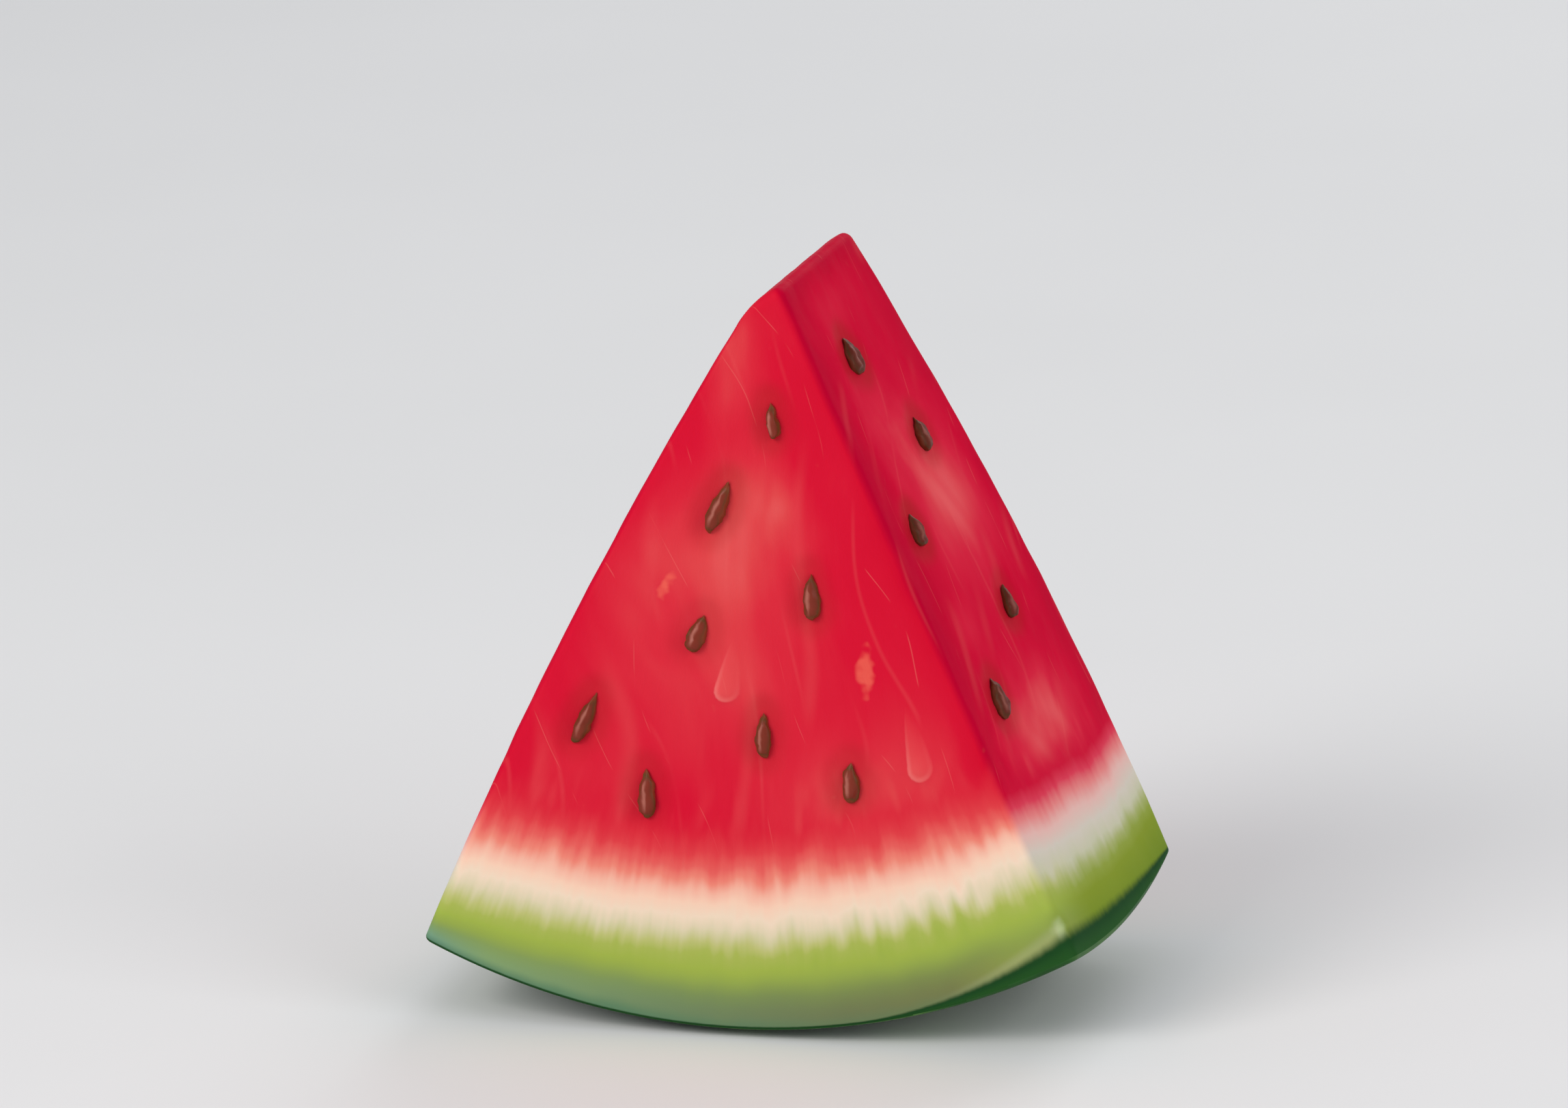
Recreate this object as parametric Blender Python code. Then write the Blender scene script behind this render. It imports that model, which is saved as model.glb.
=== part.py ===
"""A wedge of watermelon with its seeds, standing on its rind. Metres, +Z up.

The wedge comes from a slab cut across the melon, so the front and back are cut faces, and two
more cuts run down from a short sloping tip near the melon's middle to the rind. The rind is
pressed flat where the wedge stands. The origin is the middle of that flat spot, straight below
the melon's middle, with +X to the right of the front cut face and +Y away from it.

A point of the wedge is given by three shares: across runs from the left cut to the right cut,
back runs from the front cut to the back cut, and down runs from the tip to the skin.
"""

import math
import random

import bmesh
import bpy
from mathutils import Matrix, Vector

# The whole melon, an oval that lies along Y.
MELON_RADIUS = 0.120
MELON_HALF_LENGTH = 0.140
FLAT_DEPTH = 0.0008

# The tip, where the left and right cuts would meet.
APEX_HEIGHT = 0.1204
APEX_X = 0.0113
APEX_FRONT_Y = -0.0178
APEX_BACK_Y = 0.0183
TIP_WIDTH = 0.0038
TIP_SLOPE = math.radians(51.0)
TIP_SWELL = 0.0005

# The four knife cuts: how far each leans from upright, and how far the left face, and the back
# edge of the right one, swell between tip and skin.
FRONT_LEAN = math.radians(4.6)
BACK_LEAN = math.radians(5.2)
LEFT_LEAN = math.radians(28.8)
RIGHT_LEAN = math.radians(23.6)
CUT_SWELL = 0.0027

# Edges: soft flesh along the cuts, and a crisper line where the knife left the skin.
FLESH_EDGE_RADIUS = 0.0017
SKIN_EDGE_RADIUS = 0.0007

# Where flesh, white rind, green rind and skin end, as a share of the way down.
FLESH_END = 0.80
WHITE_RIND_END = 0.88
GREEN_RIND_END = 0.985

# How finely the surface is divided.
POINTS_ALONG_WIDTH = 12
POINTS_ALONG_THICKNESS = 7
POINTS_ROUND_CORNER = 3
STEPS_ROUND_EDGE = 3
RINGS_IN_FLESH = 9
RINGS_ON_SKIN = 8
RINGS_ON_TIP = 2

# Seeds of the front cut face and the right cut face. Each has its place across the face, its
# place down from the tip, its lean to the right in degrees, its length and its width.
FRONT_SEEDS = [
    (0.615, 0.171, -3, 0.0058, 0.0021),
    (0.375, 0.282, 14, 0.0092, 0.0028),
    (0.69, 0.415, 7, 0.0074, 0.0028),
    (0.37, 0.457, 14, 0.0066, 0.0031),
    (0.147, 0.605, 5, 0.0092, 0.0026),
    (0.54, 0.594, 2, 0.0074, 0.0026),
    (0.313, 0.688, -10, 0.0080, 0.0029),
    (0.708, 0.672, 9, 0.0064, 0.0030),
]
RIGHT_SEEDS = [
    (0.395, 0.138, 0, 0.0064, 0.0044),
    (0.633, 0.280, 8, 0.0057, 0.0037),
    (0.239, 0.382, 6, 0.0054, 0.0030),
    (0.650, 0.540, 14, 0.0056, 0.0030),
    (0.275, 0.637, 8, 0.0068, 0.0040),
]

# Seeds of the two other cut faces, in rows across each face.
SEED_ROWS = [0.17, 0.31, 0.44, 0.57, 0.69]
SEED_SPACING = 0.027
SEED_STAGGER = 0.12
SEED_DRAW = 11
SEED_THICKNESS = 0.0022
SEED_SINK = 0.0003
SEED_SIDES = 8
SEED_RINGS = 6


def clear_scene():
    """Start from an empty scene."""
    for thing in list(bpy.data.objects):
        bpy.data.objects.remove(thing, do_unlink=True)


def principled(name, colour, roughness):
    """A plain surface of one colour."""
    material = bpy.data.materials.new(name)
    material.use_nodes = True
    surface = material.node_tree.nodes["Principled BSDF"]
    surface.inputs["Base Color"].default_value = (*colour, 1.0)
    surface.inputs["Roughness"].default_value = roughness
    surface.inputs["Metallic"].default_value = 0.0
    return material


def between_cuts(across, back, depth):
    """The point between the four flat cuts at this depth below the apex."""
    front_y = APEX_FRONT_Y - depth * math.tan(FRONT_LEAN)
    back_y = APEX_BACK_Y + depth * math.tan(BACK_LEAN)
    y = front_y + (back_y - front_y) * back
    left_x = APEX_X - TIP_WIDTH - depth * math.tan(LEFT_LEAN)
    right_x = APEX_X + depth * math.tan(RIGHT_LEAN)
    return Vector((left_x + (right_x - left_x) * across, y, APEX_HEIGHT - depth))


def share_to_skin(start, run):
    """How many runs from the start reach the melon's oval surface."""
    radii = Vector((MELON_RADIUS, MELON_HALF_LENGTH, MELON_RADIUS))
    middle = Vector((0.0, 0.0, MELON_RADIUS - FLAT_DEPTH))
    place = Vector([(s - m) / r for s, m, r in zip(start, middle, radii)])
    step = Vector([d / r for d, r in zip(run, radii)])
    half = place.dot(step)
    squared = step.length_squared
    return (-half + math.sqrt(half * half - squared * (place.length_squared - 1.0))) / squared


def wedge_point(across, back, down):
    """The point of the wedge at these three shares."""
    tip_left = between_cuts(0.0, back, TIP_WIDTH * math.tan(TIP_SLOPE))
    tip_right = between_cuts(1.0, back, 0.0)
    start = tip_left.lerp(tip_right, across)
    start.z += TIP_SWELL * 4.0 * across * (1.0 - across)
    run = between_cuts(across, back, MELON_RADIUS) - start
    point = start + run * share_to_skin(start, run) * down
    point.x += CUT_SWELL * (across * back - (1.0 - across)) * 4.0 * down * (1.0 - down)
    return point


def level_size(down):
    """Width, thickness and length down to the skin of the wedge at one level."""
    width = (wedge_point(1.0, 0.5, down) - wedge_point(0.0, 0.5, down)).length
    thickness = (wedge_point(0.5, 1.0, down) - wedge_point(0.5, 0.0, down)).length
    length = (wedge_point(0.5, 0.5, 1.0) - wedge_point(0.5, 0.5, 0.0)).length
    return width, thickness, length


def rounded_outline(width, thickness, radius):
    """Points round a rectangle with round corners, about its middle, anticlockwise from above."""
    half_x = width / 2.0 - radius
    half_y = thickness / 2.0 - radius
    corners = [(-half_x, -half_y), (half_x, -half_y), (half_x, half_y), (-half_x, half_y)]
    straights = [POINTS_ALONG_WIDTH, POINTS_ALONG_THICKNESS] * 2
    points = []
    for side in range(4):
        angle = math.radians(180.0 + 90.0 * side)
        for step in range(POINTS_ROUND_CORNER + 1):
            turn = angle + math.radians(90.0) * step / POINTS_ROUND_CORNER
            corner = Vector(corners[side])
            points.append(corner + radius * Vector((math.cos(turn), math.sin(turn))))
        next_corner = Vector(corners[(side + 1) % 4])
        next_corner += radius * Vector((math.cos(angle + math.pi / 2), math.sin(angle + math.pi / 2)))
        last = points[-1].copy()
        for step in range(1, straights[side]):
            points.append(last.lerp(next_corner, step / straights[side]))
    return points


def skin_point(x, y):
    """The point of the melon's underside at this place."""
    rise = math.sqrt(1.0 - (x / MELON_RADIUS) ** 2 - (y / MELON_HALF_LENGTH) ** 2)
    return Vector((x, y, MELON_RADIUS * (1.0 - rise) - FLAT_DEPTH))


def flat_spot_edge(edge_of_skin):
    """The round edge of the flat spot, with a point for each one along the edge of the skin."""
    reach = math.sqrt(1.0 - (1.0 - FLAT_DEPTH / MELON_RADIUS) ** 2)
    half_width, half_thickness = (size / 2.0 for size in level_size(1.0)[:2])
    points = []
    for point in edge_of_skin:
        turn = math.atan2(point.y / half_thickness, point.x / half_width)
        x = MELON_RADIUS * reach * math.cos(turn)
        y = MELON_HALF_LENGTH * reach * math.sin(turn)
        points.append(Vector((x, y, 0.0)))
    return points


def ring_of_points(down, inset, shrink):
    """One loop round the wedge, this far inside the cuts, shrunk towards its own middle."""
    width, thickness, length = level_size(down)
    radius = max(FLESH_EDGE_RADIUS - inset, FLESH_EDGE_RADIUS / 8.0)
    outline = rounded_outline(width - 2.0 * inset, thickness - 2.0 * inset, radius)
    shares = [(0.5 + shrink * p.x / width, 0.5 + shrink * p.y / thickness) for p in outline]
    return [wedge_point(across, back, down) for across, back in shares]


def rings_down_the_cuts():
    """Rings from the tip to the edge of the skin, each as (down, inset, shrink)."""
    length = level_size(0.0)[2]
    rings = []
    for step in range(1, RINGS_ON_TIP + 1):
        rings.append((0.0, FLESH_EDGE_RADIUS, step / (RINGS_ON_TIP + 1)))
    for step in range(STEPS_ROUND_EDGE + 1):
        turn = math.radians(90.0) * step / STEPS_ROUND_EDGE
        inset = FLESH_EDGE_RADIUS * (1.0 - math.sin(turn))
        rings.append((FLESH_EDGE_RADIUS * (1.0 - math.cos(turn)) / length, inset, 1.0))
    for step in range(1, RINGS_IN_FLESH + 1):
        rings.append((FLESH_END * step / RINGS_IN_FLESH, 0.0, 1.0))
    rings.append(((FLESH_END + WHITE_RIND_END) / 2.0, 0.0, 1.0))
    rings.append((WHITE_RIND_END, 0.0, 1.0))
    rings.append(((WHITE_RIND_END + GREEN_RIND_END) / 2.0, 0.0, 1.0))
    rings.append((GREEN_RIND_END, 0.0, 1.0))
    for step in range(STEPS_ROUND_EDGE + 1):
        turn = math.radians(90.0) * step / STEPS_ROUND_EDGE
        above_skin = SKIN_EDGE_RADIUS * (1.0 - math.sin(turn))
        rings.append((1.0 - above_skin / length, SKIN_EDGE_RADIUS * (1.0 - math.cos(turn)), 1.0))
    return rings


def region(down):
    """Material slot of a band of the wedge whose lower ring is at this level."""
    ends = [FLESH_END, WHITE_RIND_END, GREEN_RIND_END]
    return sum(down > end + 1e-6 for end in ends)


def bridge(shape, upper, lower, slot):
    """Join two rings by a band of faces in one material slot."""
    for side in range(len(upper)):
        after = (side + 1) % len(upper)
        face = shape.faces.new((upper[side], lower[side], lower[after], upper[after]))
        face.material_index = slot
        face.smooth = True


def make_wedge():
    """The wedge itself, one closed surface of rings from the tip down to the flat spot."""
    shape = bmesh.new()
    loops = []
    slots = []
    for down, inset, shrink in rings_down_the_cuts():
        points = ring_of_points(down, inset, shrink)
        loops.append([shape.verts.new(point) for point in points])
        slots.append(region(down))
    flat_spot = flat_spot_edge(points)
    for step in range(1, RINGS_ON_SKIN):
        share = step / RINGS_ON_SKIN
        places = [edge.lerp(flat, share) for edge, flat in zip(points, flat_spot)]
        loops.append([shape.verts.new(skin_point(place.x, place.y)) for place in places])
        slots.append(region(1.0))
    loops.append([shape.verts.new(point) for point in flat_spot])
    slots.append(region(1.0))
    shape.faces.new(loops[0]).smooth = True
    for upper, lower, slot in zip(loops, loops[1:], slots[1:]):
        bridge(shape, upper, lower, slot)
    base = shape.faces.new(list(reversed(loops[-1])))
    base.material_index = region(1.0)
    mesh = bpy.data.meshes.new("watermelon_wedge")
    shape.to_mesh(mesh)
    shape.free()
    mesh.materials.append(principled("flesh", (0.72, 0.02, 0.03), 0.35))
    mesh.materials.append(principled("white_rind", (0.85, 0.74, 0.60), 0.45))
    mesh.materials.append(principled("green_rind", (0.36, 0.46, 0.07), 0.45))
    mesh.materials.append(principled("skin", (0.02, 0.09, 0.02), 0.35))
    wedge = bpy.data.objects.new("watermelon_wedge", mesh)
    bpy.context.collection.objects.link(wedge)
    return wedge


def seat_on_face(face, place, down, lean):
    """Where a seed sits on a cut face: its point to the tip, its flat side on the flesh."""
    small = 0.01
    on_face = {
        "front": lambda share, level: wedge_point(share, 0.0, level),
        "right": lambda share, level: wedge_point(1.0, share, level),
        "back": lambda share, level: wedge_point(1.0 - share, 1.0, level),
        "left": lambda share, level: wedge_point(0.0, 1.0 - share, level),
    }[face]
    middle = on_face(place, down)
    up = (on_face(place, down - small) - middle).normalized()
    right = (on_face(place + small, down) - middle).normalized()
    outward = right.cross(up).normalized()
    right = up.cross(outward)
    turned_up = up * math.cos(lean) + right * math.sin(lean)
    sideways = outward.cross(turned_up)
    seat = Matrix((sideways, outward, turned_up)).transposed().to_4x4()
    seat.translation = middle - outward * SEED_SINK
    return seat


def make_seed(name, seat, length, width, material):
    """A flattened teardrop: round below, drawn out to a point above."""
    fullest = math.sqrt(5.0 / 14.0) * (9.0 / 14.0) ** 0.9
    shape = bmesh.new()
    bmesh.ops.create_uvsphere(shape, u_segments=SEED_SIDES, v_segments=SEED_RINGS, radius=1.0)
    for vert in shape.verts:
        height = min(max((vert.co.z + 1.0) / 2.0, 0.0), 1.0)
        spread = math.sqrt(height) * (1.0 - height) ** 0.9 / fullest
        flat = Vector((vert.co.x, vert.co.y))
        if flat.length > 1e-6:
            flat.normalize()
        vert.co.x = flat.x * spread * width / 2.0
        vert.co.y = flat.y * spread * SEED_THICKNESS / 2.0
        vert.co.z *= length / 2.0
    mesh = bpy.data.meshes.new(name)
    shape.to_mesh(mesh)
    shape.free()
    mesh.shade_smooth()
    mesh.materials.append(material)
    seed = bpy.data.objects.new(name, mesh)
    seed.matrix_world = seat
    return seed


def rows_of_seeds(size_across, draw):
    """Seeds in staggered rows down a cut face, each a little off its even place."""
    seeds = []
    for row, down in enumerate(SEED_ROWS):
        count = max(1, round(level_size(down)[size_across] / SEED_SPACING - 0.5 * (row % 2)))
        for index in range(count):
            stagger = SEED_STAGGER if row % 2 else -SEED_STAGGER
            even_place = (index + 0.5 + stagger) / count
            place = even_place + draw.uniform(-0.08, 0.08) / count
            level = down + draw.uniform(-0.03, 0.03)
            lean = draw.uniform(-12.0, 14.0)
            length = draw.uniform(0.0064, 0.0088)
            width = draw.uniform(0.0031, 0.0044)
            seeds.append((place, level, lean, length, width))
    return seeds


def make_seeds():
    """All the seeds that the four cuts bared, in a collection of their own."""
    draw = random.Random(SEED_DRAW)
    seeds_of_face = {
        "front": FRONT_SEEDS,
        "right": RIGHT_SEEDS,
        "back": rows_of_seeds(0, draw),
        "left": rows_of_seeds(1, draw),
    }
    material = principled("seed", (0.12, 0.035, 0.018), 0.3)
    group = bpy.data.collections.new("seeds")
    bpy.context.scene.collection.children.link(group)
    for face, seeds in seeds_of_face.items():
        for number, (place, down, lean, length, width) in enumerate(seeds):
            seat = seat_on_face(face, place, down, math.radians(lean))
            group.objects.link(make_seed(f"{face}_seed_{number}", seat, length, width, material))
    return group


def grow_together(wedge, seeds):
    """Fuse the seeds to the flesh that holds them, and drop the loose copies."""
    joint = wedge.modifiers.new("seeds", "BOOLEAN")
    joint.operation = "UNION"
    joint.operand_type = "COLLECTION"
    joint.collection = seeds
    joint.solver = "EXACT"
    joint.material_mode = "TRANSFER"
    evaluated = wedge.evaluated_get(bpy.context.evaluated_depsgraph_get())
    fused = bpy.data.meshes.new_from_object(evaluated)
    fused.set_sharp_from_angle(angle=math.radians(40.0))
    wedge.modifiers.clear()
    wedge.data = fused
    wedge.data.name = "watermelon_wedge"
    for seed in list(seeds.objects):
        bpy.data.objects.remove(seed, do_unlink=True)
    bpy.data.collections.remove(seeds)


clear_scene()
grow_together(make_wedge(), make_seeds())
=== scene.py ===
"""A wedge of watermelon standing on its rind: red flesh with brown seeds, a cream inner rind
that runs into green in fine fringes, and a dark waxy skin. Metres, +Z up."""

import math
import random

import bpy
import numpy as np
from mathutils import Matrix, Vector


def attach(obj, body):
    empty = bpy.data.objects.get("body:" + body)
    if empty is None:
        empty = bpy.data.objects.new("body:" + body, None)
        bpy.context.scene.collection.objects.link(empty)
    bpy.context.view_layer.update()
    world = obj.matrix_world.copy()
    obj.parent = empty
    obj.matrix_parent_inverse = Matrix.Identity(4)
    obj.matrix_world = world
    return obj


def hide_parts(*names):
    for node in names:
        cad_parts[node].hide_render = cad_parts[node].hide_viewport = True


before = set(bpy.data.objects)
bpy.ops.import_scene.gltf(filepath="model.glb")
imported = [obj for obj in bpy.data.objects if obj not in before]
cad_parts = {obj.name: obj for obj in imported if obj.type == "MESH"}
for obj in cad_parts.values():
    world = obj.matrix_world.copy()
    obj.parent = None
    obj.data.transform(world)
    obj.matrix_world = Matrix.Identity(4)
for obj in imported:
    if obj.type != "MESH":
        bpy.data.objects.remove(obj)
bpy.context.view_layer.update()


# The table and the air round it.
# A plain pale matt board, wide enough to fill the picture, under one broad soft lamp from the
# upper left, a weak one from the right and pale light from all round.
def colour(red, green, blue):
    """A colour as the eye names it, 0 to 255, in the linear values that materials use."""
    linear = []
    for part in (red / 255.0, green / 255.0, blue / 255.0):
        linear.append(part / 12.92 if part <= 0.04045 else ((part + 0.055) / 1.055) ** 2.4)
    return (*linear, 1.0)


def add(tree, kind, settings=None, **inputs):
    """One node, with its settings, and each input either linked to a socket or given a value."""
    node = tree.nodes.new(kind)
    for name, value in (settings or {}).items():
        setattr(node, name, value)
    for name, value in inputs.items():
        place = int(name[1:]) if name[0] == "i" and name[1:].isdigit() else name.replace("_", " ")
        socket = node.inputs[place]
        if isinstance(value, bpy.types.NodeSocket):
            tree.links.new(value, socket)
        else:
            socket.default_value = value
    return node


def new_material(name):
    """An empty material with its surface and output, ready for colour nodes."""
    material = bpy.data.materials.new(name)
    material.use_nodes = True
    tree = material.node_tree
    tree.nodes.clear()
    surface = tree.nodes.new("ShaderNodeBsdfPrincipled")
    output = tree.nodes.new("ShaderNodeOutputMaterial")
    tree.links.new(surface.outputs["BSDF"], output.inputs["Surface"])
    return material, tree, surface


TABLE_HALF = 3.0
TABLE_TOP = -0.0001
table_mesh = bpy.data.meshes.new("pale_table")
table_mesh.from_pydata(
    [(x * TABLE_HALF, y * TABLE_HALF, TABLE_TOP) for x, y in ((-1, -1), (1, -1), (1, 1), (-1, 1))],
    [], [(0, 1, 2, 3)],
)
table = bpy.data.objects.new("pale_table", table_mesh)
bpy.context.collection.objects.link(table)
table_material, tree, surface = new_material("pale_table")
where = add(tree, "ShaderNodeTexCoord")
cloudy = add(tree, "ShaderNodeTexNoise", Vector=where.outputs["Object"], Scale=6.0, Detail=3.0)
tone = add(tree, "ShaderNodeMapRange", Value=cloudy.outputs["Fac"], To_Min=0.74, To_Max=0.79)
tree.links.new(tone.outputs["Result"], surface.inputs["Base Color"])
surface.inputs["Roughness"].default_value = 0.7
surface.inputs["Specular IOR Level"].default_value = 0.2
table_mesh.materials.append(table_material)


def lamp(name, place, target, size, power, tint=(1.0, 1.0, 1.0)):
    """A square soft lamp that faces a point."""
    light = bpy.data.lights.new(name, "AREA")
    light.size = size
    light.energy = power
    light.color = tint
    holder = bpy.data.objects.new(name, light)
    holder.location = place
    holder.rotation_euler = (Vector(target) - Vector(place)).to_track_quat("-Z", "Y").to_euler()
    bpy.context.collection.objects.link(holder)


WEDGE_MIDDLE = (0.0, 0.0, 0.06)
lamp("key_lamp", (-0.75, -1.0, 0.95), WEDGE_MIDDLE, size=0.8, power=12.7, tint=(1.0, 0.98, 0.95))
lamp("side_lamp", (1.3, -0.5, 0.7), WEDGE_MIDDLE, size=0.9, power=7.0)
lamp("back_lamp", (0.3, 1.2, 0.9), WEDGE_MIDDLE, size=0.9, power=5.0)
air = bpy.data.worlds.new("pale_air")
air.use_nodes = True
air.node_tree.nodes["Background"].inputs["Color"].default_value = (0.86, 0.88, 0.92, 1.0)
air.node_tree.nodes["Background"].inputs["Strength"].default_value = 0.55
bpy.context.scene.world = air
bpy.context.scene.view_settings.view_transform = "Standard"

# The viewpoint: a long lens from a step away, a little to the right of the front cut face and a
# little above it, tipped a few degrees, as in the picture.
VIEW_TURN = math.radians(19.2)
VIEW_RISE = math.radians(16.7)
VIEW_TIP = math.radians(3.16)
VIEW_DISTANCE = 1.5
VIEW_TARGET = Vector((0.0022, 0.0040, 0.0703))
LENS_LENGTH = 217.9
camera = bpy.data.objects.new("camera", bpy.data.cameras.new("camera"))
back_to_lens = Vector((
    math.sin(VIEW_TURN) * math.cos(VIEW_RISE),
    -math.cos(VIEW_TURN) * math.cos(VIEW_RISE),
    math.sin(VIEW_RISE),
))
level = (-back_to_lens).to_track_quat("-Z", "Y").to_matrix()
camera.matrix_world = Matrix.Translation(VIEW_TARGET + back_to_lens * VIEW_DISTANCE) @ (
    level @ Matrix.Rotation(-VIEW_TIP, 3, "Z")
).to_4x4()
camera.data.lens = LENS_LENGTH
camera.data.sensor_width = 36.0
bpy.context.collection.objects.link(camera)
bpy.context.scene.camera = camera


# The wedge of melon.
# One grown piece, cut by a knife from a slab of an oval melon that lies along Y: soft wet flesh,
# firm cream and green rind, and a thin hard skin. Two cut faces meet in a short sloping tip.
MELON_RADIUS = 0.120
MELON_HALF_LENGTH = 0.140
FLAT_DEPTH = 0.0008
APEX_HEIGHT = 0.1204
APEX_X = 0.0113
APEX_FRONT_Y = -0.0178
APEX_BACK_Y = 0.0183
TIP_WIDTH = 0.0038
TIP_DROP = TIP_WIDTH * math.tan(math.radians(51.0))
TIP_SWELL = 0.0005
FRONT_SLOPE = math.tan(math.radians(4.6))
BACK_SLOPE = math.tan(math.radians(5.2))
LEFT_SLOPE = math.tan(math.radians(28.8))
RIGHT_SLOPE = math.tan(math.radians(23.6))
CUT_SWELL = 0.0027
# The cuts are drawn in by a hair, so that nothing worked into them stands past the outline.
TRIMMED_TO = 0.9996


def between_cuts(across, back, depth):
    """Points between the four flat cuts, at these depths below the apex."""
    front_y = APEX_FRONT_Y - depth * FRONT_SLOPE
    back_y = APEX_BACK_Y + depth * BACK_SLOPE
    y = front_y + (back_y - front_y) * back
    left_x = APEX_X - TIP_WIDTH - depth * LEFT_SLOPE
    right_x = APEX_X + depth * RIGHT_SLOPE
    x = left_x + (right_x - left_x) * across
    return np.stack([x, y, APEX_HEIGHT - depth + 0.0 * y], axis=-1)


def wedge_points(across, back, down):
    """Points of the wedge from three shares: left to right, front to back, and tip to skin."""
    across, back, down = np.broadcast_arrays(
        *[np.asarray(share, float) for share in (across, back, down)])
    tip_left = between_cuts(0.0 * across, back, TIP_DROP + 0.0 * across)
    tip_right = between_cuts(0.0 * across + 1.0, back, 0.0 * across)
    start = tip_left + (tip_right - tip_left) * across[..., None]
    start[..., 2] += TIP_SWELL * 4.0 * across * (1.0 - across)
    run = between_cuts(across, back, MELON_RADIUS + 0.0 * across) - start
    radii = np.array([MELON_RADIUS, MELON_HALF_LENGTH, MELON_RADIUS])
    place = (start - np.array([0.0, 0.0, MELON_RADIUS - FLAT_DEPTH])) / radii
    step = run / radii
    half = (place * step).sum(axis=-1)
    squared = (step * step).sum(axis=-1)
    outside = (place * place).sum(axis=-1) - 1.0
    reach = (-half + np.sqrt(half * half - squared * outside)) / squared
    points = start + run * (reach * down)[..., None]
    points[..., 0] += CUT_SWELL * (across * back - (1.0 - across)) * 4.0 * down * (1.0 - down)
    return points


def level_size(down):
    """Width and thickness of the wedge at one level, and its length from tip to skin."""
    ends = wedge_points([1, 0, 0.5, 0.5, 0.5, 0.5], [0.5, 0.5, 1, 0, 0.5, 0.5], [down] * 4 + [1, 0])
    return [float(np.linalg.norm(ends[k] - ends[k + 1])) for k in (0, 2, 4)]


# How finely the surface is divided, and how round its edges are.
POINTS_ALONG_WIDTH = 142
POINTS_ALONG_THICKNESS = 68
POINTS_ROUND_CORNER = 6
RINGS_DOWN_CUTS = 150
RINGS_ON_SKIN = 26
RINGS_ON_TIP = 5
STEPS_ROUND_EDGE = 5
FLESH_EDGE_RADIUS = 0.0017
SKIN_EDGE_RADIUS = 0.0007
SHARPEST_CORNER = FLESH_EDGE_RADIUS / 8.0


def rounded_outline(width, thickness, radius):
    """Points round a rectangle with round corners, about its middle."""
    half_x = width / 2.0 - radius
    half_y = thickness / 2.0 - radius
    corners = np.array([(-half_x, -half_y), (half_x, -half_y), (half_x, half_y), (-half_x, half_y)])
    straights = [POINTS_ALONG_WIDTH, POINTS_ALONG_THICKNESS] * 2
    points = []
    for side in range(4):
        turns = np.radians(180.0 + 90.0 * side + np.linspace(0.0, 90.0, POINTS_ROUND_CORNER + 1))
        directions = np.stack([np.cos(turns), np.sin(turns)], axis=-1)
        arc = corners[side] + radius * directions
        following = corners[(side + 1) % 4] + radius * directions[-1]
        shares = np.arange(1, straights[side])[:, None] / straights[side]
        points += [arc, arc[-1] + (following - arc[-1]) * shares]
    return np.concatenate(points)


def ring_shares(down, inset, shrink):
    """Shares across and back of one ring, this far inside the cuts and shrunk to its middle."""
    width, thickness = level_size(down)[:2]
    radius = max(FLESH_EDGE_RADIUS - inset, SHARPEST_CORNER)
    outline = rounded_outline(width - 2.0 * inset, thickness - 2.0 * inset, radius)
    return 0.5 + shrink * outline / np.array([width, thickness])


wedge_length = level_size(0.0)[2]
rings = [(0.0, FLESH_EDGE_RADIUS, (step + 1) / (RINGS_ON_TIP + 1)) for step in range(RINGS_ON_TIP)]
for turn in np.radians(np.linspace(0.0, 90.0, STEPS_ROUND_EDGE + 1)):
    drop = FLESH_EDGE_RADIUS * (1.0 - math.cos(turn)) / wedge_length
    rings.append((drop, FLESH_EDGE_RADIUS * (1.0 - math.sin(turn)), 1.0))
top_down = rings[-1][0]
last_down = 1.0 - SKIN_EDGE_RADIUS / wedge_length
for step in range(1, RINGS_DOWN_CUTS):
    rings.append((top_down + (last_down - top_down) * step / RINGS_DOWN_CUTS, 0.0, 1.0))
for turn in np.radians(np.linspace(0.0, 90.0, STEPS_ROUND_EDGE + 1)):
    above_skin = SKIN_EDGE_RADIUS * (1.0 - math.sin(turn)) / wedge_length
    rings.append((1.0 - above_skin, SKIN_EDGE_RADIUS * (1.0 - math.cos(turn)), 1.0))

ring_places, ring_of_shares, ring_downs = [], [], []
for down, inset, shrink in rings:
    shares = ring_shares(down, inset, shrink)
    ring_places.append(wedge_points(shares[:, 0], shares[:, 1], down))
    ring_of_shares.append(shares)
    ring_downs.append(np.full(len(shares), down))

# The underside follows the melon's round down to the flat spot that it stands on.
flat_reach = math.sqrt(1.0 - (1.0 - FLAT_DEPTH / MELON_RADIUS) ** 2)
edge = ring_places[-1]
turns = np.arctan2(edge[:, 1] / level_size(1.0)[1], edge[:, 0] / level_size(1.0)[0])
flat_edge = np.stack([MELON_RADIUS * np.cos(turns), MELON_HALF_LENGTH * np.sin(turns)], axis=-1)
flat_edge *= flat_reach
for step in range(1, RINGS_ON_SKIN + 1):
    share = step / RINGS_ON_SKIN
    flat = edge[:, :2] + (flat_edge - edge[:, :2]) * share
    off_middle = (flat[:, 0] / MELON_RADIUS) ** 2
    rise = np.sqrt(1.0 - off_middle - (flat[:, 1] / MELON_HALF_LENGTH) ** 2)
    height = np.maximum(MELON_RADIUS * (1.0 - rise) - FLAT_DEPTH, 0.0)
    ring_places.append(np.column_stack([flat, height]))
    ring_of_shares.append(0.5 + (ring_of_shares[-1] - 0.5) * (1.0 - share / 2.0))
    ring_downs.append(np.ones(len(flat)))

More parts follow.
